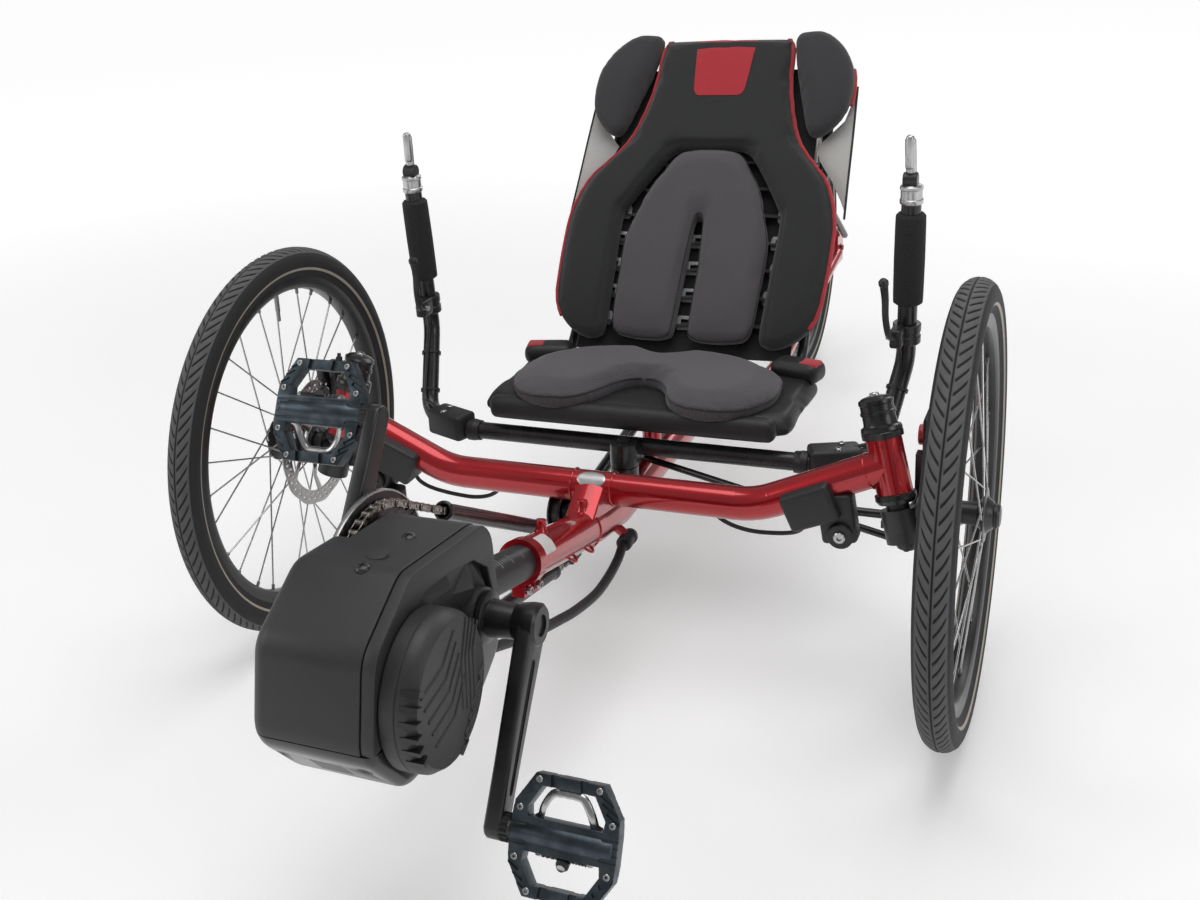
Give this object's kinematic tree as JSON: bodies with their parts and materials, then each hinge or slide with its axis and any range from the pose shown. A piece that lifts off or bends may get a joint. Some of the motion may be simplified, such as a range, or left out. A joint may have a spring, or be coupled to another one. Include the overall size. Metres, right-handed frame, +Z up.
{
  "type": "recumbent tadpole trike",
  "caption": "Low recumbent pedal trike with two steered front wheels, one driven rear wheel, reclined fabric seat, under-seat handlebar and a pedal motor on a long boom.",
  "frame": {"origin": "on the floor, midway between the motor's nose and the rear tyre, on the middle plane", "axes": "+Y to the back of the trike, +X to the rider's left, +Z up"},
  "size_m": [0.872, 1.8969, 0.6707],
  "materials": {
    "frame_red": "candy gloss",
    "tube_black": "satin",
    "motor_case": "satin",
    "motor_plastic": "fine grain",
    "motor_gloss": "gloss",
    "crank_black": "satin anodised",
    "pedal_slate": "anodised",
    "chain_steel": "oiled",
    "tube_plastic": "satin",
    "gloss_black": "gloss anodised",
    "block_plastic": "fine grain",
    "foam_black": "foam",
    "lever_black": "satin",
    "lever_silver": "polished",
    "caliper_black": "satin",
    "wheel_metal": "anodised",
    "tyre": "moulded tread",
    "disc_steel": "ground",
    "mesh_fabric": "open mesh",
    "cover_fabric": "ribbed",
    "pad_fabric": "spacer mesh",
    "cable_black": "satin"
  },
  "bodies": {
    "frame": {"frame": "frame_red", "boom": "tube_black", "motor_block": "motor_case", "motor_cover": "motor_plastic", "motor_lower_shell": "motor_gloss", "motor_side_cover": "motor_plastic", "chain": "chain_steel", "chain_tubes": "tube_plastic", "chain_idler": "tube_plastic", "headset_cups": "gloss_black", "clamp_blocks": "block_plastic", "handlebar_post": "tube_black", "rear_frame": "frame_red", "derailleur": "lever_black", "battery": "motor_plastic", "seat_frame": "tube_black", "seat_sling": "mesh_fabric", "seat_base_pad": "cover_fabric", "seat_back_pad": "cover_fabric", "base_cushion": "pad_fabric", "back_cushion": "pad_fabric", "headrest_pads": "cover_fabric", "wiring_loom": "cable_black", "left_cable_loop": "cable_black", "right_cable_loop": "cable_black"},
    "handlebar": {"handlebar": "tube_black", "bar_joint_blocks": "block_plastic", "grips": "foam_black", "brake_levers": "lever_black", "bar_end_levers": "lever_silver"},
    "drag_link": {"drag_link": "tube_black"},
    "tie_rod": {"tie_rod": "tube_black"},
    "left_knuckle": {"left_knuckle": "tube_black", "left_caliper": "caliper_black"},
    "right_knuckle": {"right_knuckle": "tube_black", "right_caliper": "caliper_black"},
    "left_wheel": {"left_wheel": "wheel_metal", "left_tyre": "tyre", "left_brake_disc": "disc_steel"},
    "right_wheel": {"right_wheel": "wheel_metal", "right_tyre": "tyre", "right_brake_disc": "disc_steel"},
    "rear_wheel": {"rear_wheel": "wheel_metal", "rear_tyre": "tyre", "cassette": "disc_steel"},
    "crankset": {"crankset": "crank_black", "chainring": "crank_black"},
    "left_pedal": {"left_pedal": "pedal_slate"},
    "right_pedal": {"right_pedal": "pedal_slate"}
  },
  "joints": [
    {"name": "steering", "type": "hinge", "parent": "frame", "child": "handlebar", "pos_m": [0, -0.2445, 0.2], "axis": [0, 0, 1], "range_deg": [-20, 20]},
    {"name": "left_steer", "type": "hinge", "parent": "frame", "child": "left_knuckle", "pos_m": [0.34, -0.3445, 0.243], "axis": [-0.2535, 0.2011, 0.9462], "range_deg": [-25, 25]},
    {"name": "right_steer", "type": "hinge", "parent": "frame", "child": "right_knuckle", "pos_m": [-0.34, -0.3445, 0.243], "axis": [0.2535, 0.2011, 0.9462], "range_deg": [-25, 25]},
    {"name": "tie_rod_pivot", "type": "hinge", "parent": "left_knuckle", "child": "tie_rod", "pos_m": [0.332, -0.2845, 0.202], "axis": [-0.2533, 0.1531, 0.9552], "range_deg": [-27, 27]},
    {"name": "drag_link_pivot", "type": "hinge", "parent": "handlebar", "child": "drag_link", "pos_m": [-0.012, -0.1905, 0.203], "axis": [0.0365, -0.0442, 0.9984], "range_deg": [-27, 27]},
    {"name": "left_wheel_spin", "type": "hinge", "parent": "left_knuckle", "child": "left_wheel", "pos_m": [0.407, -0.3445, 0.243], "axis": [1, 0, 0], "continuous": true},
    {"name": "right_wheel_spin", "type": "hinge", "parent": "right_knuckle", "child": "right_wheel", "pos_m": [-0.407, -0.3445, 0.243], "axis": [1, 0, 0], "continuous": true},
    {"name": "rear_wheel_spin", "type": "hinge", "parent": "frame", "child": "rear_wheel", "pos_m": [0, 0.7055, 0.243], "axis": [1, 0, 0], "continuous": true},
    {"name": "crank_spin", "type": "hinge", "parent": "frame", "child": "crankset", "pos_m": [0, -0.7495, 0.28], "axis": [1, 0, 0], "continuous": true},
    {"name": "left_pedal_spin", "type": "hinge", "parent": "crankset", "child": "left_pedal", "pos_m": [0.158, -0.84586, 0.14238], "axis": [1, 0, 0], "continuous": true},
    {"name": "right_pedal_spin", "type": "hinge", "parent": "crankset", "child": "right_pedal", "pos_m": [-0.158, -0.65314, 0.41762], "axis": [1, 0, 0], "continuous": true}
  ],
  "couplings": [
    {"joint": "left_steer", "follows": "steering", "ratio": 1.25},
    {"joint": "right_steer", "follows": "steering", "ratio": 1.25},
    {"joint": "tie_rod_pivot", "follows": "steering", "ratio": -1.3068},
    {"joint": "drag_link_pivot", "follows": "steering", "ratio": -1.0015}
  ]
}
